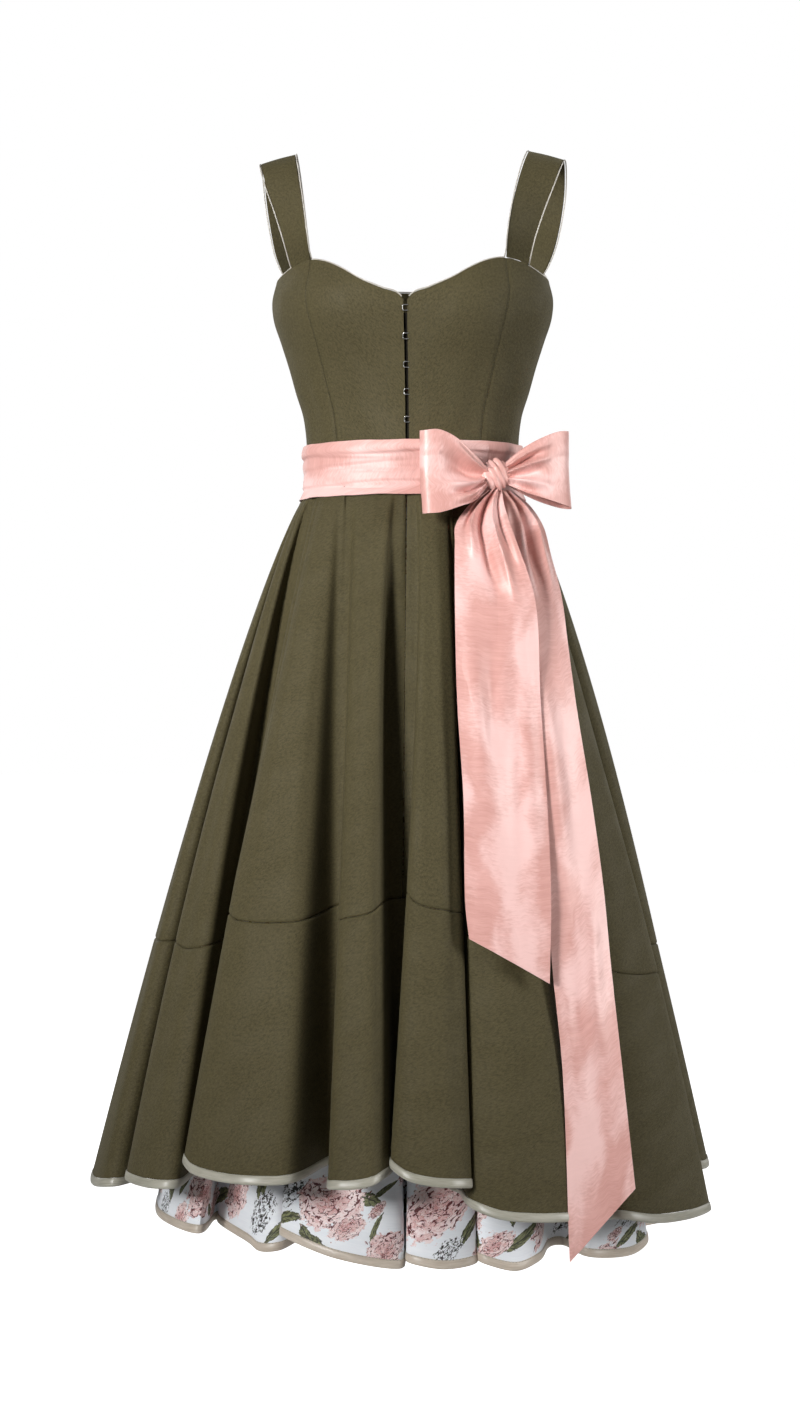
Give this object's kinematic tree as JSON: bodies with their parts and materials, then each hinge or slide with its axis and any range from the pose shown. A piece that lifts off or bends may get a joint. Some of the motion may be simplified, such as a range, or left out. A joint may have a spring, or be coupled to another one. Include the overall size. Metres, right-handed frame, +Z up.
{
  "type": "dirndl dress",
  "caption": "Sleeveless dirndl dress with fitted bodice, wide shoulder straps, deep-folded midi skirt over a floral underskirt, and a satin sash tied in a side bow.",
  "frame": {"origin": "midway between the two shoulder straps, level with the underside of their highest points, where the wearer's shoulders carry the dress", "axes": "+X to the wearer's left, -Y to the front, +Z up"},
  "size_m": [0.6718, 0.674, 1.1804],
  "materials": {
    "twill": "fine cotton twill, low sheen",
    "dark_facing": "matt dark cotton",
    "floral_print": "printed cotton, matt",
    "hem_tape": "satin bias tape",
    "piping": "satin-covered cord",
    "sash_satin": "fine-ribbed satin, strong sheen",
    "hook_wire": "polished wire"
  },
  "bodies": {
    "root": {"bodice_front_left": "twill", "bodice_front_right": "twill", "bodice_side_front_left": "twill", "bodice_side_front_right": "twill", "bodice_side_back_left": "twill", "bodice_side_back_right": "twill", "bodice_back": "twill", "strap_left": "twill", "strap_right": "twill", "skirt_front_left": "twill", "skirt_front_right": "twill", "skirt_back": "twill", "flounce_front": "twill", "flounce_back": "twill", "front_underlap": "dark_facing", "underskirt": "floral_print", "hem_binding": "hem_tape", "underskirt_binding": "hem_tape", "neck_piping": "piping", "armhole_piping_left": "piping", "armhole_piping_right": "piping", "sash_band": "sash_satin", "bow_loop_left": "sash_satin", "bow_loop_right": "sash_satin", "bow_knot": "sash_satin", "sash_tail_front": "sash_satin", "sash_tail_side": "sash_satin", "hook_1": "hook_wire", "hook_2": "hook_wire", "hook_3": "hook_wire", "hook_4": "hook_wire", "hook_5": "hook_wire"}
  },
  "joints": []
}
